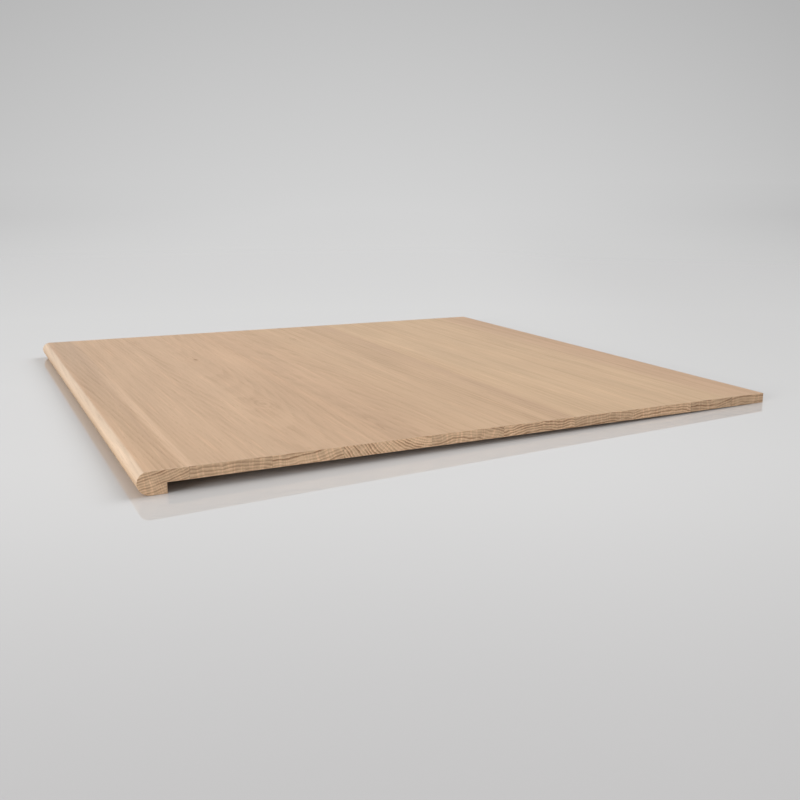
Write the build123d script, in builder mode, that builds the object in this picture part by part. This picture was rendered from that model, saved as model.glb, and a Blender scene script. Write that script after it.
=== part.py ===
from build123d import *
import math
import os

# Landing tread with a bullnose front edge, glued up from solid oak staves.
# Its own directions: depth runs from the nosing to the back edge, length runs along the nosing.

# The nosing: its round is a little tighter above than below
nosing_height = 27.0
upper_round_radius = 12.0
lip_depth = 31.75

# The body behind the nosing
body_thickness = 14.3
tread_length = 914.4

# Width of each glued stave, from the nosing to the back edge
nosing_stave_width = 56.0
stave_2_width = 93.0
stave_3_width = 87.0
stave_4_width = 116.0
stave_5_width = 104.0
stave_6_width = 111.0
stave_7_width = 101.0
stave_8_width = 103.0
stave_9_width = 79.0
back_stave_width = 64.4

# Sanded arrises round the top face
arris_radius = 0.5

body_staves = [
    ("stave_2", stave_2_width),
    ("stave_3", stave_3_width),
    ("stave_4", stave_4_width),
    ("stave_5", stave_5_width),
    ("stave_6", stave_6_width),
    ("stave_7", stave_7_width),
    ("stave_8", stave_8_width),
    ("stave_9", stave_9_width),
    ("back_stave", back_stave_width),
]
tread_depth = nosing_stave_width + sum(width for name, width in body_staves)
body_underside = nosing_height - body_thickness
lower_round_radius = nosing_height - upper_round_radius

# Laid on a floor, the tread stands on the back corner of its lip and on its back edge, so it leans
# back a little. The origin is on the floor, below the middle of the tread.
lean = math.atan2(body_underside, tread_depth - lip_depth)
rise = lip_depth * math.sin(lean)
front_reach = lower_round_radius * (math.cos(lean) + math.sin(lean) - 1)
back_reach = tread_depth * math.cos(lean) + nosing_height * math.sin(lean)
middle = (front_reach + back_reach) / 2

depth_direction = Vector(math.cos(lean), 0, -math.sin(lean))
up_direction = Vector(math.sin(lean), 0, math.cos(lean))
front_bottom = Vector(-middle, 0, rise)

depth_axis = Axis(front_bottom, depth_direction)
up_axis = Axis(front_bottom, up_direction)
length_axis = Axis(front_bottom, (0, 1, 0))

# Every section is drawn on this plane, seen from the near end: depth to the right, height up
section_plane = Plane(front_bottom, x_dir=depth_direction, z_dir=(0, -1, 0))

os.makedirs("parts", exist_ok=True)


def finish(part, name):
    part.label = name
    export_step(part, f"parts/{name}.step")
    print(name, "volume", round(part.volume / 1000, 1), "cm3")


# Front stave. The bullnose is two quarter rounds that meet at the foremost line, and behind its flat
# lip the stave is cut away underneath, down to the thickness of the body.
with BuildPart() as nosing_stave:
    with BuildSketch(section_plane):
        with BuildLine():
            upper_round = CenterArc((upper_round_radius, lower_round_radius), upper_round_radius, 90, 90)
            lower_round = CenterArc((lower_round_radius, lower_round_radius), lower_round_radius, 180, 90)
            Polyline(
                lower_round @ 1,
                (lip_depth, 0),
                (lip_depth, body_underside),
                (nosing_stave_width, body_underside),
                (nosing_stave_width, nosing_height),
                upper_round @ 0,
            )
        make_face()
    extrude(amount=tread_length / 2, both=True)
    top_face = nosing_stave.faces().filter_by(Plane(front_bottom, z_dir=up_direction)).sort_by(up_axis)[-1]
    fillet(top_face.edges().filter_by(depth_axis), arris_radius)
finish(nosing_stave.part, "nosing_stave")

# Body staves: plain strips, each against the one before it
stave_front = nosing_stave_width
for stave_name, stave_width in body_staves:
    with BuildPart() as stave:
        with BuildSketch(section_plane):
            with Locations((stave_front, body_underside)):
                Rectangle(stave_width, body_thickness, align=(Align.MIN, Align.MIN))
        extrude(amount=tread_length / 2, both=True)
        top_face = stave.faces().sort_by(up_axis)[-1]
        eased_edges = top_face.edges().filter_by(depth_axis)
        if stave_name == "back_stave":
            eased_edges += top_face.edges().filter_by(length_axis).sort_by(depth_axis)[-1:]
        fillet(eased_edges, arris_radius)
    finish(stave.part, stave_name)
    stave_front += stave_width

print("tread depth", round(tread_depth, 1), "mm, lean", round(math.degrees(lean), 3), "degrees")
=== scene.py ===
# %% [markdown]
# # A bullnose landing tread in solid oak
#
# This lesson dresses a landing tread: a wide oak board with a rounded front edge, the bullnose, which
# finishes the floor at the top of a staircase. The board is glued up from ten straight strips, called
# staves. Its sizes are already settled in a CAD model, which is loaded here as a fixed frame. Blender
# adds what makes it look like oak: growth rings on the sawn end, long grain on the faces, a soft sheen.

# %% Load the frame
import math
import bpy
import bmesh
from mathutils import Matrix, Vector


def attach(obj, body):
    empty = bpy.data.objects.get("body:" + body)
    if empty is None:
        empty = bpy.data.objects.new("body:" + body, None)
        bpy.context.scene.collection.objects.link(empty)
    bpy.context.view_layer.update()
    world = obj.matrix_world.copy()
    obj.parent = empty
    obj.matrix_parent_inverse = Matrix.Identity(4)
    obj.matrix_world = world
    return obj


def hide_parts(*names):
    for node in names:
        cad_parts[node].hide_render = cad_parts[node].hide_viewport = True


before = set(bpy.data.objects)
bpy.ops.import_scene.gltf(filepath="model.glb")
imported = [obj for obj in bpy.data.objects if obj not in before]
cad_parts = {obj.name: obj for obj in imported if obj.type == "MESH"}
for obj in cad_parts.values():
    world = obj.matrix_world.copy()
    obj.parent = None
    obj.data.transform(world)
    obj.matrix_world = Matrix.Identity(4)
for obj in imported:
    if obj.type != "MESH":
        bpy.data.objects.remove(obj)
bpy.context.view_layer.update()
print("CAD nodes:", sorted(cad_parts))

# %% [markdown]
# The tread lies unheld on the floor. It stands on the back corner of its front lip and on its back
# edge, so it leans back by less than one degree. The board has directions of its own: depth runs from
# the nosing to the back edge, length along the nosing, height up through the board. One matrix takes
# these board sizes to the place where the board lies, so everything below can be thought out on a
# level board, and the same move can be undone inside the materials.

# %% The board's own sizes and its place on the floor
mm = 0.001
nosing_height = 27 * mm
upper_round_radius = 12 * mm
lower_round_radius = nosing_height - upper_round_radius
lip_depth = 31.75 * mm
body_thickness = 14.3 * mm
body_underside = nosing_height - body_thickness
tread_length = 914.4 * mm
stave_widths = {
    "nosing_stave": 56 * mm,
    "stave_2": 93 * mm,
    "stave_3": 87 * mm,
    "stave_4": 116 * mm,
    "stave_5": 104 * mm,
    "stave_6": 111 * mm,
    "stave_7": 101 * mm,
    "stave_8": 103 * mm,
    "stave_9": 79 * mm,
    "back_stave": 64.4 * mm,
}
tread_depth = sum(stave_widths.values())

lean = math.atan2(body_underside, tread_depth - lip_depth)
front_reach = lower_round_radius * (math.cos(lean) + math.sin(lean) - 1)
back_reach = tread_depth * math.cos(lean) + nosing_height * math.sin(lean)
board_corner = Vector((-(front_reach + back_reach) / 2, -tread_length / 2, lip_depth * math.sin(lean)))
board_place = Matrix.Translation(board_corner) @ Matrix.Rotation(lean, 4, "Y")
print("lean", round(math.degrees(lean), 3), "degrees, corner", [round(v / mm, 2) for v in board_corner])

# %% [markdown]
# The camera stands low in front of the near end, a little to the left, so the rounded nosing runs away
# along the left and the sawn end runs to the right. The slight sideways shift only moves the picture's
# frame, as a view camera does.

# %% Camera
camera_pitch = math.radians(76.703)
camera_roll = math.radians(0.1)
camera_turn = math.radians(-28.139)

camera_data = bpy.data.cameras.new("camera")
camera_data.lens = 42.11
camera_data.sensor_width = 36
camera_data.shift_x = -0.05
camera = bpy.data.objects.new("camera", camera_data)
camera.location = (-0.6178, -1.4376, 0.3284)
camera.rotation_euler = (camera_pitch, camera_roll, camera_turn)
bpy.context.scene.collection.objects.link(camera)
bpy.context.scene.camera = camera
bpy.context.scene.view_settings.view_transform = "Standard"
print("camera", round(camera.location.z, 2), "m above the floor, lens", round(camera_data.lens, 1), "mm")

# %% [markdown]
# The studio is a very wide level floor under a pale sky. Far out the floor takes on the colour of the sky,
# so that no horizon shows behind the board. The floor is one round sheet, made with one operator, and it is
# not part of the tread.

# %% Floor
floor_radius = 60.0
floor_sides = 96


def new_object(name, mesh_maker):
    """Turns a finished bmesh into an object of the scene."""
    mesh = bpy.data.meshes.new(name)
    mesh_maker.to_mesh(mesh)
    mesh_maker.free()
    made = bpy.data.objects.new(name, mesh)
    bpy.context.scene.collection.objects.link(made)
    return made


floor_maker = bmesh.new()
bmesh.ops.create_circle(
    floor_maker,
    cap_ends=True,
    cap_tris=True,
    segments=floor_sides,
    radius=floor_radius,
)
studio_floor = new_object("studio_floor", floor_maker)
floor_faces = studio_floor.data.polygons
print("floor faces:", len(floor_faces), "facing up:", floor_faces[0].normal.z > 0)

# %% [markdown]
# The light is plain and soft, and comes from two sides. A very low light from the front left catches
# the round of the nosing and the sawn end, but hardly touches the floor. A higher one from the right
# lays a soft shadow along the nosing, and the sky fills the rest. A sun with a wide disc does the work
# of a large, far panel: its light is even over the whole board, and its shadows have soft edges.

# %% Two soft lights


def soft_panel(name, direction, strength, spread):
    """A wide sun that shines in one direction and is not mirrored in the floor."""
    panel_data = bpy.data.lights.new(name, "SUN")
    panel_data.energy = strength
    panel_data.angle = math.radians(spread)
    panel = bpy.data.objects.new(name, panel_data)
    panel.rotation_euler = Vector(direction).to_track_quat("-Z", "Y").to_euler()
    panel.visible_glossy = False
    bpy.context.scene.collection.objects.link(panel)
    slope = math.degrees(math.asin(-Vector(direction).normalized().z))
    print(name, "comes down at", round(slope, 1), "degrees")


soft_panel("low_light", direction=(0.92, 0.3, -0.15), strength=2.6, spread=22)
soft_panel("side_light", direction=(-0.75, -0.1, -0.66), strength=1.9, spread=40)

# %% [markdown]
# The sky and the materials are made of nodes. A few short helpers keep them readable: one feeds a
# socket, one places a single sum, one a single sum on vectors, one splits a vector into its three
# numbers, one makes a soft step from 0 to 1, and one mixes two numbers.

# %% Helpers for nodes


def feed(tree, socket, value):
    """Links a node's output to a socket, or writes a plain value on it."""
    if isinstance(value, bpy.types.NodeSocket):
        tree.links.new(value, socket)
    else:
        socket.default_value = value


def calc(tree, operation, *values, clamp=False):
    """One Math node, such as ADD or MULTIPLY."""
    node = tree.nodes.new("ShaderNodeMath")
    node.operation = operation
    node.use_clamp = clamp
    for socket, value in zip(node.inputs, values):
        feed(tree, socket, value)
    return node.outputs[0]


def vector_calc(tree, operation, *values):
    """One Vector Math node, such as ADD or NORMALIZE, with all its outputs."""
    node = tree.nodes.new("ShaderNodeVectorMath")
    node.operation = operation
    for socket, value in zip(node.inputs, values):
        feed(tree, socket, value)
    return node.outputs


def parts_of(tree, vector):
    """Splits a vector into its three numbers. Of a place on the board: depth, length and height."""
    node = tree.nodes.new("ShaderNodeSeparateXYZ")
    feed(tree, node.inputs[0], vector)
    return node.outputs


def soft_step(tree, value, start, end):
    """0 before start, 1 after end, and a smooth slope between them."""
    node = tree.nodes.new("ShaderNodeMapRange")
    node.interpolation_type = "SMOOTHSTEP"
    feed(tree, node.inputs["Value"], value)
    feed(tree, node.inputs["From Min"], start)
    feed(tree, node.inputs["From Max"], end)
    return node.outputs[0]


def number_mix(tree, share, first, second):
    """Goes from the first number to the second as the share goes from 0 to 1."""
    node = tree.nodes.new("ShaderNodeMix")
    node.data_type = "FLOAT"
    feed(tree, node.inputs[0], share)
    feed(tree, node.inputs[2], first)
    feed(tree, node.inputs[3], second)
    return node.outputs[0]


print("node helpers ready")

# %% [markdown]
# The sky plays three parts, and Light Path tells them apart, so each can be set without a change in
# the others. What the camera sees is a pale grey, a little lighter in the middle of the picture than
# at its corners. What the floor and the oiled wood mirror is lighter from the horizon upwards, like
# the lit wall of a studio. What lights the board is a plain white at a bit less than half strength.

# %% The backdrop's grey
middle_of_view = Vector((0.361, 0.808, -0.465))
far_from_middle = 0.73
near_middle = 0.9
backdrop_edge = 0.46
backdrop_middle = 0.65


def backdrop_grey(tree, direction):
    """The backdrop's grey for a direction, lightest towards the middle of the view."""
    along_view = vector_calc(tree, "DOT_PRODUCT", direction, middle_of_view)["Value"]
    grey = tree.nodes.new("ShaderNodeMapRange")
    feed(tree, grey.inputs["Value"], along_view)
    grey.inputs["From Min"].default_value = far_from_middle
    grey.inputs["From Max"].default_value = near_middle
    grey.inputs["To Min"].default_value = backdrop_edge
    grey.inputs["To Max"].default_value = backdrop_middle
    return grey.outputs[0]


def seen_ray(tree):
    """1 for rays that show the backdrop: from the camera, in a reflection or through glass."""
    path = tree.nodes.new("ShaderNodeLightPath")
    mirrored = calc(tree, "MAXIMUM", path.outputs["Is Glossy Ray"], path.outputs["Is Transmission Ray"])
    return calc(tree, "MAXIMUM", path.outputs["Is Camera Ray"], mirrored)


print("backdrop grey from", backdrop_edge, "to", backdrop_middle)

# %% [markdown]
# The world is a mix of two backgrounds: the plain white that gives light, and the grey that is seen.
# In a mirror ray the grey rises to the colour of the lit wall, slowly from just below the horizon, so
# that the far floor, which mirrors the lowest part, stays as grey as the backdrop behind it.

# %% Sky
ambient_light = 0.46
mirrored_wall = 0.8
wall_start = -0.05
wall_end = 0.27

sky = bpy.data.worlds.new("studio_sky")
sky.use_nodes = True
sky_tree = sky.node_tree
lighting = sky_tree.nodes["Background"]
lighting.inputs["Color"].default_value = (1, 1, 1, 1)
lighting.inputs["Strength"].default_value = ambient_light
sky_direction = sky_tree.nodes.new("ShaderNodeTexCoord").outputs["Generated"]
rise_of_ray = parts_of(sky_tree, sky_direction)[2]
glossy_ray = sky_tree.nodes.new("ShaderNodeLightPath").outputs["Is Glossy Ray"]
wall_share = calc(sky_tree, "MULTIPLY", glossy_ray, soft_step(sky_tree, rise_of_ray, wall_start, wall_end))
shown_grey = number_mix(sky_tree, wall_share, backdrop_grey(sky_tree, sky_direction), mirrored_wall)
backdrop = sky_tree.nodes.new("ShaderNodeBackground")
feed(sky_tree, backdrop.inputs["Color"], shown_grey)
either = sky_tree.nodes.new("ShaderNodeMixShader")
feed(sky_tree, either.inputs[0], seen_ray(sky_tree))
feed(sky_tree, either.inputs[1], lighting.outputs[0])
feed(sky_tree, either.inputs[2], backdrop.outputs[0])
feed(sky_tree, sky_tree.nodes["World Output"].inputs[0], either.outputs[0])
bpy.context.scene.world = sky
print("sky: light", ambient_light, "mirrored wall", mirrored_wall)

# %% [markdown]
# The floor is a pale, glossy sheet. Near the board it is a real surface, which takes shadows and mirrors
# the sawn end. Its grey is painted a little darker towards the front and towards the right: a painted
# shade, as in a room where the light comes from one side.

# %% Floor material, near the board
pale_grey = (0.685, 0.68, 0.678, 1)
shaded_grey = (0.537, 0.53, 0.531, 1)
towards_front = (-0.43, -0.9, 0)
towards_right = (0.88, -0.47, 0)
front_slope = (0.5, 1.3)
right_slope = (0.2, 0.85)
right_painted_shade = -0.13
floor_roughness = 0.03
floor_gloss = 0.7


def colour_mix(tree, share, first, second):
    """Goes from the first colour to the second as the share goes from 0 to 1."""
    node = tree.nodes.new("ShaderNodeMix")
    node.data_type = "RGBA"
    feed(tree, node.inputs[0], share)
    feed(tree, node.inputs[6], first)
    feed(tree, node.inputs[7], second)
    return node.outputs[2]


def shaded(tree, colour, strength):
    """Makes a colour lighter or darker by a number that may change over the surface."""
    node = tree.nodes.new("ShaderNodeVectorMath")
    node.operation = "SCALE"
    feed(tree, node.inputs[0], colour)
    feed(tree, node.inputs["Scale"], strength)
    return node.outputs[0]


floor_material = bpy.data.materials.new("pale_floor")
floor_material.use_nodes = True
floor_tree = floor_material.node_tree
floor_shader = floor_tree.nodes["Principled BSDF"]
floor_place = floor_tree.nodes.new("ShaderNodeTexCoord").outputs["Object"]
to_front = vector_calc(floor_tree, "DOT_PRODUCT", floor_place, towards_front)["Value"]
to_right = vector_calc(floor_tree, "DOT_PRODUCT", floor_place, towards_right)["Value"]
# Painted shade: the floor's colour grows darker towards the front and towards the right.
front_shade = soft_step(floor_tree, to_front, *front_slope)
right_shade = soft_step(floor_tree, to_right, *right_slope)
right_strength = calc(floor_tree, "MULTIPLY_ADD", right_shade, right_painted_shade, 1.0)
front_grey = colour_mix(floor_tree, front_shade, pale_grey, shaded_grey)
feed(floor_tree, floor_shader.inputs["Base Color"], shaded(floor_tree, front_grey, right_strength))
floor_shader.inputs["Roughness"].default_value = floor_roughness
floor_shader.inputs["Specular IOR Level"].default_value = floor_gloss
print("floor grey from", pale_grey[0], "to", shaded_grey[0])

# %% [markdown]
# Far out the floor fades into the backdrop's grey. The direction that decides this grey is taken from
# a point at eye height above the middle of the floor, so the backdrop's slow change from top to bottom
# runs on across the horizon without a line.

# %% Floor material, far out
eye_height = 0.33
fade_start = 1.2
fade_end = 9.0

from_eye_height = vector_calc(floor_tree, "ADD", floor_place, (0, 0, -eye_height))["Vector"]
outward = vector_calc(floor_tree, "NORMALIZE", from_eye_height)["Vector"]
far_floor = floor_tree.nodes.new("ShaderNodeEmission")
feed(floor_tree, far_floor.inputs["Color"], backdrop_grey(floor_tree, outward))
distance = vector_calc(floor_tree, "LENGTH", floor_place)["Value"]
far_out = soft_step(floor_tree, distance, fade_start, fade_end)
faded = floor_tree.nodes.new("ShaderNodeMixShader")
feed(floor_tree, faded.inputs[0], calc(floor_tree, "MULTIPLY", far_out, seen_ray(floor_tree)))
feed(floor_tree, faded.inputs[1], floor_shader.outputs[0])
feed(floor_tree, faded.inputs[2], far_floor.outputs[0])
feed(floor_tree, floor_tree.nodes["Material Output"].inputs["Surface"], faded.outputs[0])
studio_floor.data.materials.append(floor_material)
print("floor material has", len(floor_tree.nodes), "nodes")

# %% [markdown]
# ## The nosing stave
#
# The CAD model already holds this strip, but its round is made of flat facets, which would show in a
# raking light. So the strip is made again, smooth, inside the same outline. A router cuts a bullnose
# as two quarter rounds that meet at the foremost line. Here one point is spun through both quarter
# rounds, and the rest of the outline is drawn with extruded points and filled.

# %% Outline of the nosing, spun and closed
round_steps = 28
quarter_turn = math.pi / 2
merge_distance = 0.01 * mm


def turned_point(maker, point, centre):
    """Spins one vertex through a quarter round and gives back the arc's last vertex."""
    turned = bmesh.ops.spin(
        maker,
        geom=[point],
        cent=centre,
        axis=(0, 1, 0),
        angle=quarter_turn,
        steps=round_steps,
        use_merge=False,
        use_duplicate=False,
    )
    return [v for v in turned["geom_last"] if isinstance(v, bmesh.types.BMVert)][0]


nosing_maker = bmesh.new()
lip_start = nosing_maker.verts.new((lower_round_radius, 0, 0))
foremost = turned_point(nosing_maker, lip_start, (lower_round_radius, 0, lower_round_radius))
round_top = turned_point(nosing_maker, foremost, (upper_round_radius, 0, lower_round_radius))
outline_tip = lip_start
for depth, height in (
    (lip_depth, 0),
    (lip_depth, body_underside),
    (stave_widths["nosing_stave"], body_underside),
    (stave_widths["nosing_stave"], nosing_height),
):
    drawn = bmesh.ops.extrude_vert_indiv(nosing_maker, verts=[outline_tip])
    outline_tip = drawn["verts"][0]
    outline_tip.co = Vector((depth, 0, height))
nosing_maker.edges.new((outline_tip, round_top))
bmesh.ops.remove_doubles(nosing_maker, verts=nosing_maker.verts, dist=merge_distance)
bmesh.ops.contextual_create(nosing_maker, geom=nosing_maker.edges[:])
print("outline:", len(nosing_maker.verts), "points,", len(nosing_maker.faces), "face")

# %% [markdown]
# The filled outline is extruded along the whole length, as a strip is run through a router table. A
# saw leaves the ends sharp, and a joiner takes that sharpness off with fine paper, but only where a
# hand can touch it: round the nosing and its lip, and along the top. The rebate stays as it was cut.

# %% Outline extruded to the full length, ends sanded
end_easing = 0.45 * mm
easing_steps = 3
tolerance = 0.1 * mm
crease_angle = math.radians(40)

near_end = nosing_maker.faces[:]
far_end = bmesh.ops.extrude_face_region(nosing_maker, geom=near_end)
far_points = [part for part in far_end["geom"] if isinstance(part, bmesh.types.BMVert)]
bmesh.ops.translate(nosing_maker, vec=(0, tread_length, 0), verts=far_points)
bmesh.ops.recalc_face_normals(nosing_maker, faces=nosing_maker.faces)


def touched_by_hand(edge):
    """True for the end edges of the round, the lip and the top face, which are sanded after sawing."""
    across_the_end = abs(edge.verts[0].co.y - edge.verts[1].co.y) < merge_distance
    middle = (edge.verts[0].co + edge.verts[1].co) / 2
    before_rebate = middle.x < lip_depth - tolerance
    on_top = middle.z > nosing_height - tolerance
    return across_the_end and (before_rebate or on_top)


sanded_edges = [edge for edge in nosing_maker.edges if touched_by_hand(edge)]
bmesh.ops.bevel(
    nosing_maker,
    geom=sanded_edges,
    offset=end_easing,
    affect="EDGES",
    segments=easing_steps,
    profile=0.5,
    material=-1,
)
bmesh.ops.transform(nosing_maker, matrix=board_place, verts=nosing_maker.verts)
for face in nosing_maker.faces:
    face.smooth = True
nosing = new_object("oak_nosing", nosing_maker)
nosing.data.set_sharp_from_angle(angle=crease_angle)
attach(nosing, "root")
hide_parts("nosing_stave")
nosing_low = [min(v.co[axis] for v in nosing.data.vertices) for axis in range(3)]
nosing_high = [max(v.co[axis] for v in nosing.data.vertices) for axis in range(3)]
print("oak_nosing starts at", [round(v / mm, 3) for v in nosing_low])
print("oak_nosing ends at", [round(v / mm, 3) for v in nosing_high])

# %% [markdown]
# ## Oak, worked out once for the whole board
#
# Oak shows two faces. Across the sawn end the growth rings lie like tilted arches, dark where the
# spring wood is full of pores. Along the board the same rings are cut lengthwise and draw long lines
# and pointed arches, which joiners call cathedrals. A picture could be laid on the board, but a
# picture ends at the edge of the wood. Here the rings are worked out in space instead, as distances
# from the heart of the tree, so they run on round every edge, as they do in a real plank. All places
# are read from Object coordinates, turned back by the board's own place, so depth, length and height
# inside the materials are the same as the sizes above.

# %% [markdown]
# A shader node group is a small machine with named sockets. It is built once and placed in every
# material with its own values, so a change in it reaches the whole board.

# %% Helpers for node groups
NUMBER = "NodeSocketFloat"
PLACE = "NodeSocketVector"
COLOUR = "NodeSocketColor"


def effect_group(name, inputs, outputs):
    """Makes a group with named sockets and gives back the group, what it is given and what it makes."""
    group = bpy.data.node_groups.new(name, "ShaderNodeTree")
    for title, kind in inputs.items():
        group.interface.new_socket(title, in_out="INPUT", socket_type=kind)
    for title, kind in outputs.items():
        group.interface.new_socket(title, in_out="OUTPUT", socket_type=kind)
    given = group.nodes.new("NodeGroupInput").outputs
    made = group.nodes.new("NodeGroupOutput").inputs
    return group, given, made


def use_group(tree, group, values):
    """Places a group in a material or in another group, with its own values."""
    node = tree.nodes.new("ShaderNodeGroup")
    node.node_tree = group
    for title, value in values.items():
        feed(tree, node.inputs[title], value)
    return node.outputs


print("group helpers ready")

# %% [markdown]
# Wood is never quite regular, so nearly all of it starts from soft noise. One helper makes the noise,
# another moves it to both sides of 0, so that it can push a line to and fro. The third gives the
# straight distance that belongs to two sides at a right angle, for rings and for knots.

# %% Helpers for wood


def cloud(tree, place, per_metre, detail=2.0, seed=0.0):
    """Soft noise, with so many blobs in a metre of depth, of length and of height."""
    scaled = tree.nodes.new("ShaderNodeMapping")
    scaled.inputs["Scale"].default_value = per_metre
    feed(tree, scaled.inputs["Vector"], place)
    node = tree.nodes.new("ShaderNodeTexNoise")
    node.noise_dimensions = "4D"
    node.inputs["Scale"].default_value = 1.0
    node.inputs["Detail"].default_value = detail
    feed(tree, node.inputs["W"], seed)
    tree.links.new(scaled.outputs[0], node.inputs["Vector"])
    return node.outputs


def centred(tree, noise):
    """Moves noise from between 0 and 1 to both sides of 0."""
    return calc(tree, "SUBTRACT", noise, 0.5)


def straight_distance(tree, beside, above):
    """The long side over two sides that meet at a right angle."""
    square_above = calc(tree, "MULTIPLY", above, above)
    return calc(tree, "SQRT", calc(tree, "MULTIPLY_ADD", beside, beside, square_above))


print("wood helpers ready")

# %% [markdown]
# The growth rings are tubes round the pith, the heart of the tree. A stave is a small piece out of
# such a trunk, so the group needs to know where the pith would be, in the board's own directions, and
# how fast it rises along the board. Noise pushes the distance a little to and fro, because no tree
# grows true. Each ring begins with a dark porous line and clears towards its end, and some rings are
# stronger than others.

# %% Group: growth rings
line_full = 0.16
line_fades_from = 0.22
line_gone = 0.9
weakest_ring = 0.3

growth_rings, given, made = effect_group(
    "growth_rings",
    {
        "Place": PLACE,
        "Pith Depth": NUMBER,
        "Pith Height": NUMBER,
        "Rise": NUMBER,
        "Ring Width": NUMBER,
        "Wander": NUMBER,
        "Unevenness": NUMBER,
        "Seed": NUMBER,
    },
    {"Line": NUMBER, "Around": NUMBER, "Radius": NUMBER},
)
depth, length, height = parts_of(growth_rings, given["Place"])
slow_noise = cloud(growth_rings, given["Place"], (32, 3, 32), 2.5, given["Seed"])["Color"]
slow_pushes = parts_of(growth_rings, slow_noise)
push_back = calc(growth_rings, "MULTIPLY", centred(growth_rings, slow_pushes[0]), given["Wander"])
push_up = calc(growth_rings, "MULTIPLY", centred(growth_rings, slow_pushes[2]), given["Wander"])
pith_here = calc(growth_rings, "MULTIPLY_ADD", length, given["Rise"], given["Pith Height"])
true_beside = calc(growth_rings, "SUBTRACT", depth, given["Pith Depth"])
true_above = calc(growth_rings, "SUBTRACT", height, pith_here)
beside_pith = calc(growth_rings, "ADD", true_beside, push_back)
above_pith = calc(growth_rings, "ADD", true_above, push_up)
radius = straight_distance(growth_rings, beside_pith, above_pith)
quick_noise = cloud(growth_rings, given["Place"], (75, 5, 75), 3.0, given["Seed"])[0]
true_count = calc(growth_rings, "DIVIDE", radius, given["Ring Width"])
ring_count = calc(growth_rings, "MULTIPLY_ADD", quick_noise, given["Unevenness"], true_count)
ring_share = calc(growth_rings, "FRACT", ring_count)
opening = soft_step(growth_rings, ring_share, 0.0, line_full)
closing = soft_step(growth_rings, ring_share, line_gone, line_fades_from)
ring_line = calc(growth_rings, "MULTIPLY", opening, closing)

mood_place = growth_rings.nodes.new("ShaderNodeCombineXYZ")
feed(growth_rings, mood_place.inputs[0], calc(growth_rings, "FLOOR", ring_count))
feed(growth_rings, mood_place.inputs[1], given["Seed"])
ring_mood = growth_rings.nodes.new("ShaderNodeTexWhiteNoise")
ring_mood.noise_dimensions = "2D"
feed(growth_rings, ring_mood.inputs["Vector"], mood_place.outputs[0])
mood = ring_mood.outputs["Value"]
ring_strength = calc(growth_rings, "MULTIPLY_ADD", mood, 1 - weakest_ring, weakest_ring)
feed(growth_rings, made["Line"], calc(growth_rings, "MULTIPLY", ring_line, ring_strength))
feed(growth_rings, made["Around"], calc(growth_rings, "ARCTAN2", beside_pith, above_pith))
feed(growth_rings, made["Radius"], radius)
print(growth_rings.name, "has", len(growth_rings.nodes), "nodes")

# %% [markdown]
# Where the saw went across the board, every ring shows as a dark line with open pores in it, and fine
# pale rays cross the rings at a right angle, like the spokes of a wheel. The rays are noise drawn on
# the angle round the pith, so they always point to the heart of the tree.

# %% Group: end grain
ray_paleness = 0.2
mottle_depth = 0.3
patch_depth = 0.5
sawn_roughness = 0.68

end_grain, given, made = effect_group(
    "end_grain",
    {
        "Place": PLACE,
        "Line": NUMBER,
        "Around": NUMBER,
        "Radius": NUMBER,
        "Pale": COLOUR,
        "Dark": COLOUR,
        "Contrast": NUMBER,
        "Seed": NUMBER,
    },
    {"Colour": COLOUR, "Roughness": NUMBER, "Height": NUMBER},
)
spoke_place = end_grain.nodes.new("ShaderNodeCombineXYZ")
feed(end_grain, spoke_place.inputs[0], given["Around"])
feed(end_grain, spoke_place.inputs[1], given["Radius"])
spoke_noise = cloud(end_grain, spoke_place.outputs[0], (95, 22, 1), 3.0, given["Seed"])[0]
spokes = soft_step(end_grain, spoke_noise, 0.46, 0.68)
pore_noise = cloud(end_grain, given["Place"], (2300, 300, 2300), 1.0, given["Seed"])[0]
pore_dots = soft_step(end_grain, pore_noise, 0.5, 0.66)
mottle = cloud(end_grain, given["Place"], (90, 10, 170), 2.0, given["Seed"])[0]
patches = cloud(end_grain, given["Place"], (34, 10, 50), 2.0, given["Seed"])[0]
broken_line = calc(end_grain, "MULTIPLY", given["Line"], soft_step(end_grain, mottle, 0.1, 0.55))
line_share = calc(end_grain, "MULTIPLY", broken_line, given["Contrast"])
pore_depth = calc(end_grain, "MULTIPLY_ADD", given["Line"], 0.22, 0.06)
pore_share = calc(end_grain, "MULTIPLY", pore_dots, pore_depth)
mottled_line = calc(end_grain, "MULTIPLY_ADD", centred(end_grain, mottle), mottle_depth, line_share)
darkness = calc(end_grain, "ADD", mottled_line, pore_share, clamp=True)
ringed = colour_mix(end_grain, darkness, given["Pale"], given["Dark"])
spoked = calc(end_grain, "MULTIPLY_ADD", spokes, ray_paleness, 1 - ray_paleness / 2)
patchy = calc(end_grain, "MULTIPLY_ADD", patches, patch_depth, 1 - patch_depth / 2)
feed(end_grain, made["Colour"], shaded(end_grain, ringed, calc(end_grain, "MULTIPLY", spoked, patchy)))
feed(end_grain, made["Roughness"], calc(end_grain, "MULTIPLY_ADD", darkness, 0.12, sawn_roughness))
feed(end_grain, made["Height"], calc(end_grain, "MULTIPLY_ADD", pore_share, -0.8, 1.0))
print(end_grain.name, "has", len(end_grain.nodes), "nodes")

# %% [markdown]
# Along the board the wood is planed and sanded, and oiled to a dull sheen. Fine fibres run the whole
# length, the pores lie open as short dark dashes, more of them on the dark ring lines, a few pale
# streaks lie between them, and the tone changes slowly from place to place. All of it is noise that is
# squeezed across the board and drawn out along it.

# %% Group: long grain
strand_depth = 0.46
fibre_depth = 0.28
base_darkness = 0.16
streak_paleness = 0.11
oiled_roughness = 0.5
other_seed = 20.0

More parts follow.
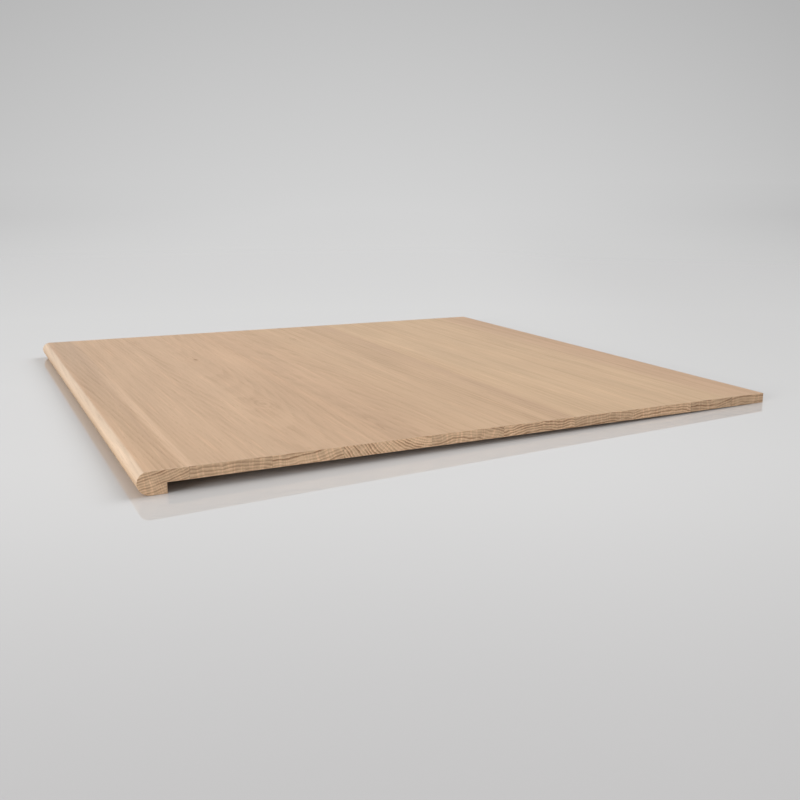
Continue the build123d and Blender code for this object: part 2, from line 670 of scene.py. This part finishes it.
long_grain, given, made = effect_group(
    "long_grain",
    {
        "Place": PLACE,
        "Line": NUMBER,
        "Pale": COLOUR,
        "Dark": COLOUR,
        "Contrast": NUMBER,
        "Seed": NUMBER,
    },
    {"Colour": COLOUR, "Roughness": NUMBER, "Height": NUMBER},
)
fibres = cloud(long_grain, given["Place"], (520, 16, 520), 2.0, given["Seed"])[0]
strands = cloud(long_grain, given["Place"], (85, 2.5, 85), 4.0, given["Seed"])[0]
patches = cloud(long_grain, given["Place"], (16, 5, 16), 3.0, given["Seed"])[0]
pore_noise = cloud(long_grain, given["Place"], (1100, 70, 1100), 1.0, given["Seed"])[0]
streak_seed = calc(long_grain, "ADD", given["Seed"], other_seed)
streak_noise = cloud(long_grain, given["Place"], (260, 6, 260), 2.0, streak_seed)[0]
pores = soft_step(long_grain, pore_noise, 0.58, 0.72)
pores_here = calc(long_grain, "MULTIPLY", pores, calc(long_grain, "MULTIPLY_ADD", given["Line"], 0.5, 0.3))
faded_line = calc(long_grain, "MULTIPLY", given["Line"], soft_step(long_grain, strands, 0.3, 0.7))
line_share = calc(long_grain, "MULTIPLY", faded_line, given["Contrast"])
strand_share = calc(long_grain, "MULTIPLY_ADD", centred(long_grain, strands), strand_depth, line_share)
fibre_share = calc(long_grain, "MULTIPLY_ADD", centred(long_grain, fibres), fibre_depth, strand_share)
without_pores = calc(long_grain, "ADD", fibre_share, base_darkness)
darkness = calc(long_grain, "MULTIPLY_ADD", pores_here, 0.4, without_pores, clamp=True)
lined = colour_mix(long_grain, darkness, given["Pale"], given["Dark"])
pale_streaks = soft_step(long_grain, streak_noise, 0.54, 0.74)
patchy = calc(long_grain, "MULTIPLY_ADD", patches, 0.2, 0.885)
streaky = calc(long_grain, "MULTIPLY_ADD", pale_streaks, streak_paleness, patchy)
feed(long_grain, made["Colour"], shaded(long_grain, lined, streaky))
feed(long_grain, made["Roughness"], calc(long_grain, "MULTIPLY_ADD", darkness, 0.14, oiled_roughness))
surface = calc(long_grain, "MULTIPLY_ADD", fibres, 0.25, calc(long_grain, "SUBTRACT", 0.8, pores_here))
feed(long_grain, made["Height"], surface)
print(long_grain.name, "has", len(long_grain.nodes), "nodes")

# %% [markdown]
# A small knot is the foot of a twig: a round dark spot, drawn out a little along the board, with a few
# faint rings round it where the fibres flow past. The rings are a sine of the distance, which fades
# outwards.

# %% Group: small knot
knot_slimness = 0.45
ring_rate = 5.5

small_knot, given, made = effect_group(
    "small_knot",
    {"Place": PLACE, "Depth": NUMBER, "Length": NUMBER, "Size": NUMBER},
    {"Mask": NUMBER, "Halo": NUMBER},
)
spot = parts_of(small_knot, given["Place"])
beside = calc(small_knot, "SUBTRACT", spot[0], given["Depth"])
along = calc(small_knot, "SUBTRACT", spot[1], given["Length"])
beside_share = calc(small_knot, "DIVIDE", beside, given["Size"])
along_share = calc(small_knot, "MULTIPLY", calc(small_knot, "DIVIDE", along, given["Size"]), knot_slimness)
away = straight_distance(small_knot, beside_share, along_share)
wave = calc(small_knot, "SINE", calc(small_knot, "MULTIPLY", away, ring_rate))
ripples = calc(small_knot, "MULTIPLY_ADD", wave, 0.5, 0.5)
feed(small_knot, made["Mask"], soft_step(small_knot, away, 1.0, 0.2))
feed(small_knot, made["Halo"], calc(small_knot, "MULTIPLY", ripples, soft_step(small_knot, away, 4.5, 1.0)))
print(small_knot.name, "has", len(small_knot.nodes), "nodes")

# %% [markdown]
# On the top of the board the eye reads a few wide bands: a darker front strip with a thin light
# stripe behind it, a band with cathedrals, a band whose lines slant towards the near end, a plainer
# and lighter band, and a darker back strip. The rings of each band are the same growth rings as
# everywhere, with their pith put where it draws that band's figure.

# %% Group: figure of the top, its bands of rings
top_figure, given, made = effect_group("top_figure", {"Place": PLACE}, {"Line": NUMBER, "Tone": COLOUR})
top_spot = parts_of(top_figure, given["Place"])
depth = top_spot[0]
length = top_spot[1]
edge_noise = centred(top_figure, cloud(top_figure, given["Place"], (3, 5, 3), 2.0, 4.0)[0])
band_depth = calc(top_figure, "MULTIPLY_ADD", edge_noise, 8 * mm, depth)


def band_rings(pith_depth, pith_height, rise, ring_width, wander, unevenness, seed):
    """The growth rings that draw one band of the top."""
    values = {
        "Place": given["Place"],
        "Pith Depth": pith_depth * mm,
        "Pith Height": pith_height * mm,
        "Rise": rise,
        "Ring Width": ring_width * mm,
        "Wander": wander * mm,
        "Unevenness": unevenness,
        "Seed": seed,
    }
    return use_group(top_figure, growth_rings, values)["Line"]


def next_band(start, end, lines_so_far, lines, strength):
    """Goes over from the lines so far to the lines of the next band, between two depths in mm."""
    passed = soft_step(top_figure, band_depth, start * mm, end * mm)
    return number_mix(top_figure, passed, lines_so_far, calc(top_figure, "MULTIPLY", lines, strength))


front_lines = band_rings(-150, 250, 0.05, 4.5, 3, 0.8, 2.0)
cathedral_lines = band_rings(207, -93, 0.05, 4.5, 9, 0.9, 3.0)
slanting_lines = band_rings(300, -60, -0.1, 7, 12, 1.6, 8.0)
plain_lines = band_rings(1300, 300, 0.06, 9, 12, 1.6, 5.0)
nosing_joint = stave_widths["nosing_stave"]
behind_nosing = soft_step(top_figure, depth, nosing_joint - 0.5 * mm, nosing_joint + 0.5 * mm)
soft_cathedrals = calc(top_figure, "MULTIPLY", cathedral_lines, 0.62)
front_half = number_mix(top_figure, behind_nosing, front_lines, soft_cathedrals)
up_to_third = next_band(280, 320, front_half, slanting_lines, 0.6)
band_lines = next_band(565, 568, up_to_third, plain_lines, 0.5)
print(top_figure.name, "has the rings of four bands")

# %% [markdown]
# The knots are placed one by one, each with its own size and darkness, and their marks are added to
# the lines of the bands. Only two of them are plain to see, the others are no more than a shadow.

# %% Group: figure of the top, its knots
halo_strength = 0.5
marks = band_lines
for knot_depth, knot_length, knot_size, knot_strength in (
    (217, 624, 6, 2.6),
    (219.5, 252, 7, 1.4),
    (156, 846, 6, 0.9),
    (447.5, 766, 6, 1.4),
):
    knot = use_group(
        top_figure,
        small_knot,
        {
            "Place": given["Place"],
            "Depth": knot_depth * mm,
            "Length": knot_length * mm,
            "Size": knot_size * mm,
        },
    )
    spot_share = calc(top_figure, "MULTIPLY", knot["Mask"], knot_strength)
    halo_share = calc(top_figure, "MULTIPLY", knot["Halo"], halo_strength)
    marks = calc(top_figure, "ADD", marks, calc(top_figure, "MAXIMUM", spot_share, halo_share))
feed(top_figure, made["Line"], marks)
print(top_figure.name, "has", len(top_figure.nodes), "nodes with its knots")

# %% [markdown]
# The bands also differ in tone. A colour ramp is a row of stops, each a depth with its tone, so the
# tone can be read off across the board from the nosing to the back edge. After its depth in mm and its
# tone, each stop says how far it leans to pink and to yellow, or away from them below 0. Colours in a
# ramp are meant to lie between 0 and 1, so all tones are scaled down in it and up again behind it.

# %% Group: figure of the top, its tones
# The first stops, from the nosing's edge to 18 mm, are partly the strip's own tone and partly a painted
# highlight that carries the round's light onto the top.
tone_stops = [
    (0, 1.04, 0.01, -0.02),
    (12, 1.03, 0.01, -0.02),
    (18, 1.0, 0.0, -0.03),
    (38, 0.98, 0.0, -0.03),
    (41.5, 0.9, 0.01, -0.03),
    (45, 1.0, 0.0, -0.03),
    (62, 1.05, 0.0, -0.03),
    (80, 1.04, 0.0, -0.03),
    (180, 1.035, 0.0, -0.03),
    (285, 1.02, 0.01, 0.0),
    (294, 1.06, 0.01, 0.0),
    (308, 0.98, 0.01, 0.0),
    (330, 1.0, 0.01, 0.0),
    (420, 1.03, 0.0, 0.0),
    (540, 0.99, 0.0, 0.0),
    (556, 0.94, 0.01, 0.0),
    (565, 0.94, 0.01, 0.0),
    (569, 1.08, -0.01, 0.0),
    (610, 1.04, -0.01, 0.0),
    (700, 1.05, -0.01, 0.0),
    (830, 1.03, -0.01, 0.0),
    (855, 0.95, 0.01, 0.0),
    (914, 0.89, 0.02, 0.02),
]
tone_scale = 0.8

band_tones = top_figure.nodes.new("ShaderNodeValToRGB")
ramp = band_tones.color_ramp
while len(ramp.elements) < len(tone_stops):
    ramp.elements.new(0.5)
for stop, (stop_depth, tone, pink, yellow) in zip(ramp.elements, tone_stops):
    stop.position = stop_depth * mm
    level = tone * tone_scale
    stop.color = (level * (1 + pink), level * (1 - pink), level * (1 - yellow), 1)
feed(top_figure, band_tones.inputs[0], band_depth)
print("tone ramp with", len(ramp.elements), "stops over", round(tread_depth / mm, 1), "mm")

# %% [markdown]
# Two marks aren't the same along the whole length: the front strip is darker towards its far end, and
# the light stripe behind it, where the two staves meet, fades on the way there.

# %% Group: figure of the top, its light stripe
far_strip_tone = 0.93
far_stripe_share = 0.35
stripe_colour = (1.15, 1.18, 1.22, 1)


def tinted(tree, colour, tint):
    """Multiplies one colour by another."""
    return vector_calc(tree, "MULTIPLY", colour, tint)["Vector"]


far_share = soft_step(top_figure, length, 50 * mm, 800 * mm)
front_strip_tone = number_mix(top_figure, far_share, 1.0, far_strip_tone)
strip_tone = number_mix(top_figure, behind_nosing, front_strip_tone, 1.0)
stripe_front = soft_step(top_figure, depth, 45.5 * mm, 52 * mm)
stripe_back = soft_step(top_figure, depth, 63 * mm, 58 * mm)
stripe = calc(top_figure, "MULTIPLY", stripe_front, stripe_back)
stripe_strength = number_mix(top_figure, far_share, 1.0, far_stripe_share)
stripe_share = calc(top_figure, "MULTIPLY", stripe, stripe_strength)
stripe_tint = colour_mix(top_figure, stripe_share, (1, 1, 1, 1), stripe_colour)
tone_strength = calc(top_figure, "MULTIPLY", strip_tone, 1 / tone_scale)
even_tone = shaded(top_figure, band_tones.outputs[0], tone_strength)
feed(top_figure, made["Tone"], tinted(top_figure, even_tone, stripe_tint))
print(top_figure.name, "has", len(top_figure.nodes), "nodes in all")

# %% [markdown]
# Where two staves meet, the glue shows as a hair line, dark on the end grain. The group takes the two
# joints of its stave and marks a narrow strip beside each.

# %% Group: glue lines
glue_lines, given, made = effect_group(
    "glue_lines",
    {"Place": PLACE, "Front Joint": NUMBER, "Back Joint": NUMBER, "Width": NUMBER},
    {"Mask": NUMBER},
)
depth = parts_of(glue_lines, given["Place"])[0]
front_gap = calc(glue_lines, "ABSOLUTE", calc(glue_lines, "SUBTRACT", depth, given["Front Joint"]))
back_gap = calc(glue_lines, "ABSOLUTE", calc(glue_lines, "SUBTRACT", depth, given["Back Joint"]))
nearest_gap = calc(glue_lines, "MINIMUM", front_gap, back_gap)
feed(glue_lines, made["Mask"], soft_step(glue_lines, nearest_gap, given["Width"], 0.0))
print(glue_lines.name, "has", len(glue_lines.nodes), "nodes")

# %% [markdown]
# ## One oak for each stave
#
# Every stave came out of another plank, so each gets a material of its own, built by one function.
# The function first asks where a point lies on the board and which way the surface faces there, since
# that decides which cut of the wood is seen.

# %% Where a point lies, and which way it faces


def place_on_board(tree):
    """Object coordinates, turned back by the board's place: depth, length and height in metres."""
    laid_flat = tree.nodes.new("ShaderNodeMapping")
    laid_flat.vector_type = "TEXTURE"
    laid_flat.inputs["Location"].default_value = board_corner
    laid_flat.inputs["Rotation"].default_value = (0, lean, 0)
    feed(tree, laid_flat.inputs["Vector"], tree.nodes.new("ShaderNodeTexCoord").outputs["Object"])
    return laid_flat.outputs[0]


def cuts_shown(tree):
    """Shares of end face and of top face, and how far the surface faces up at all."""
    facing = parts_of(tree, tree.nodes.new("ShaderNodeNewGeometry").outputs["Normal"])
    end_face = soft_step(tree, calc(tree, "ABSOLUTE", facing[1]), 0.55, 0.85)
    top_face = soft_step(tree, facing[2], 0.9, 1.0)
    facing_up = soft_step(tree, facing[2], -0.35, 0.8)
    return end_face, top_face, facing_up


print("board corner for the materials", [round(v / mm, 2) for v in board_corner])

# %% [markdown]
# The colours of oiled oak come in pairs, pale for the summer wood and dark for the spring wood, with one
# pair for the faces and a stronger one for the sawn end. The faces off the top have one tone all over. The
# round of the nosing is painted paler and less yellow the more it faces up: a painted highlight, which
# stands for the light that the low lamp lays on the round.

# %% Colours of oiled oak
pale_face = (0.626, 0.425, 0.264, 1)
dark_face = (0.338, 0.2, 0.112, 1)
pale_end = (0.69, 0.475, 0.305, 1)
dark_end = (0.21, 0.09, 0.034, 1)
glue_brown = (0.16, 0.1, 0.06, 1)
plain_tint = (0.95, 0.95, 0.95, 1)
# The round's tint is a painted highlight, not a paler wood.
round_highlight_tint = (1.27, 1.44, 1.7, 1)
face_contrast = 0.34
end_contrast = 0.74


def planed_face(tree, place, rings, cuts, painted_highlight, seed):
    """Long grain: the top's figure where the surface faces up, the stave's own rings elsewhere, and on the
    nosing's round a painted highlight that grows as the surface faces up.
    """
    end_face, top_face, facing_up = cuts
    top = use_group(tree, top_figure, {"Place": place})
    # Painted highlight: when the nosing's share is on, faces off the top turn paler the more they face up.
    side_tone_and_highlight = colour_mix(tree, calc(tree, "MULTIPLY", facing_up, painted_highlight), plain_tint, round_highlight_tint)
    along = use_group(
        tree,
        long_grain,
        {
            "Place": place,
            "Line": number_mix(tree, top_face, rings["Line"], top["Line"]),
            "Pale": pale_face,
            "Dark": dark_face,
            "Contrast": face_contrast,
            "Seed": seed,
        },
    )
    face_tone = colour_mix(tree, top_face, side_tone_and_highlight, top["Tone"])
    return tinted(tree, along["Colour"], face_tone), along["Roughness"], along["Height"]


def sawn_end(tree, place, rings, end_tone, seed):
    """End grain: the stave's rings cut across."""
    across = use_group(
        tree,
        end_grain,
        {
            "Place": place,
            "Line": rings["Line"],
            "Around": rings["Around"],
            "Radius": rings["Radius"],
            "Pale": pale_end,
            "Dark": dark_end,
            "Contrast": end_contrast,
            "Seed": seed,
        },
    )
    return shaded(tree, across["Colour"], end_tone), across["Roughness"], across["Height"]


print("oak colours: pale", pale_face[:3], "dark", dark_face[:3])

# %% [markdown]
# One function puts a stave's material together. It works out the stave's rings, takes both cuts of
# the wood from them, and mixes the two by the way the surface faces. The glue lines are laid over the
# colour, strongly on the sawn end and barely on the faces, and the pores press a faint relief into
# the light through a Bump node.

# %% Building a stave's material
ring_unevenness = 1.2
glue_width = 0.5 * mm
glue_on_face = 0.05
glue_on_end = 0.25
oil_sheen = 0.35
relief_strength = 0.5
relief_height = 0.12 * mm


def stave_oak(name, pith, rise, ring_width, wander, end_tone, painted_highlight, joints, seed):
    """Builds one stave's material from where its rings lie. Sizes are in mm."""
    oak = bpy.data.materials.new(name + "_oak")
    oak.use_nodes = True
    tree = oak.node_tree
    shader = tree.nodes["Principled BSDF"]
    place = place_on_board(tree)
    cuts = cuts_shown(tree)
    end_face = cuts[0]
    pith_depth, pith_height = pith
    ring_values = {
        "Place": place,
        "Pith Depth": pith_depth * mm,
        "Pith Height": pith_height * mm,
        "Rise": rise,
        "Ring Width": ring_width * mm,
        "Wander": wander * mm,
        "Unevenness": ring_unevenness,
        "Seed": seed,
    }
    rings = use_group(tree, growth_rings, ring_values)
    face_colour, face_roughness, face_height = planed_face(tree, place, rings, cuts, painted_highlight, seed)
    end_colour, end_roughness, end_height = sawn_end(tree, place, rings, end_tone, seed)
    wood_colour = colour_mix(tree, end_face, face_colour, end_colour)

    glue_values = {
        "Place": place,
        "Front Joint": joints[0] * mm,
        "Back Joint": joints[1] * mm,
        "Width": glue_width,
    }
    glue_mask = use_group(tree, glue_lines, glue_values)["Mask"]
    glue_strength = calc(tree, "MULTIPLY_ADD", end_face, glue_on_end, glue_on_face)
    glue_share = calc(tree, "MULTIPLY", glue_mask, glue_strength)
    feed(tree, shader.inputs["Base Color"], colour_mix(tree, glue_share, wood_colour, glue_brown))
    feed(tree, shader.inputs["Roughness"], number_mix(tree, end_face, face_roughness, end_roughness))
    shader.inputs["Specular IOR Level"].default_value = oil_sheen
    relief = tree.nodes.new("ShaderNodeBump")
    relief.inputs["Strength"].default_value = relief_strength
    relief.inputs["Distance"].default_value = relief_height
    feed(tree, relief.inputs["Height"], number_mix(tree, end_face, face_height, end_height))
    feed(tree, shader.inputs["Normal"], relief.outputs[0])
    return oak


print("stave_oak is ready, relief", round(relief_height / mm, 2), "mm deep")

# %% [markdown]
# What is left is to say, stave by stave, how its rings lie on the sawn end: where the pith would be in
# depth and height, how fast it rises along the board, how wide the rings are, how far they wander, and
# how light the end is. The CAD nodes keep their meshes and get the material in the slots they have.
# Only the nosing's painted highlight is switched on, because no other stave has a round.

# %% The ten staves
stave_rings = {
    "nosing_stave": ((-23, 200), 0.02, 3.0, 4.0, 1.01),
    "stave_2": ((100, -260), 0.02, 4.4, 9.0, 0.96),
    "stave_3": ((165, 230), 0.015, 3.8, 8.0, 1.07),
    "stave_4": ((362, 95), 0.02, 3.6, 6.0, 1.14),
    "stave_5": ((385, -190), 0.02, 3.8, 11.0, 1.04),
    "stave_6": ((520, -240), 0.02, 3.6, 12.0, 1.04),
    "stave_7": ((620, -200), 0.02, 3.6, 11.0, 0.95),
    "stave_8": ((722, -260), 0.02, 4.0, 10.0, 1.05),
    "stave_9": ((800, 230), 0.02, 4.0, 9.0, 0.84),
    "back_stave": ((880, -220), 0.02, 4.4, 9.0, 0.84),
}
seed_step = 1.7
stave_front = 0.0
for number, (node_name, (pith, rise, ring_width, wander, end_tone)) in enumerate(stave_rings.items()):
    stave_back = stave_front + stave_widths[node_name] / mm
    joints = (stave_front, stave_back)
    # The painted highlight on the round is for the nosing alone.
    painted_highlight = 1.0 if node_name == "nosing_stave" else 0.0
    oak = stave_oak(node_name, pith, rise, ring_width, wander, end_tone, painted_highlight, joints, seed_step * number)
    print(node_name, "lies from", round(stave_front, 1), "to", round(stave_back, 1), "mm")
    stave_front = stave_back
    if node_name == "nosing_stave":
        nosing.data.materials.append(oak)
        continue
    for stave_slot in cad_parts[node_name].material_slots:
        stave_slot.material = oak
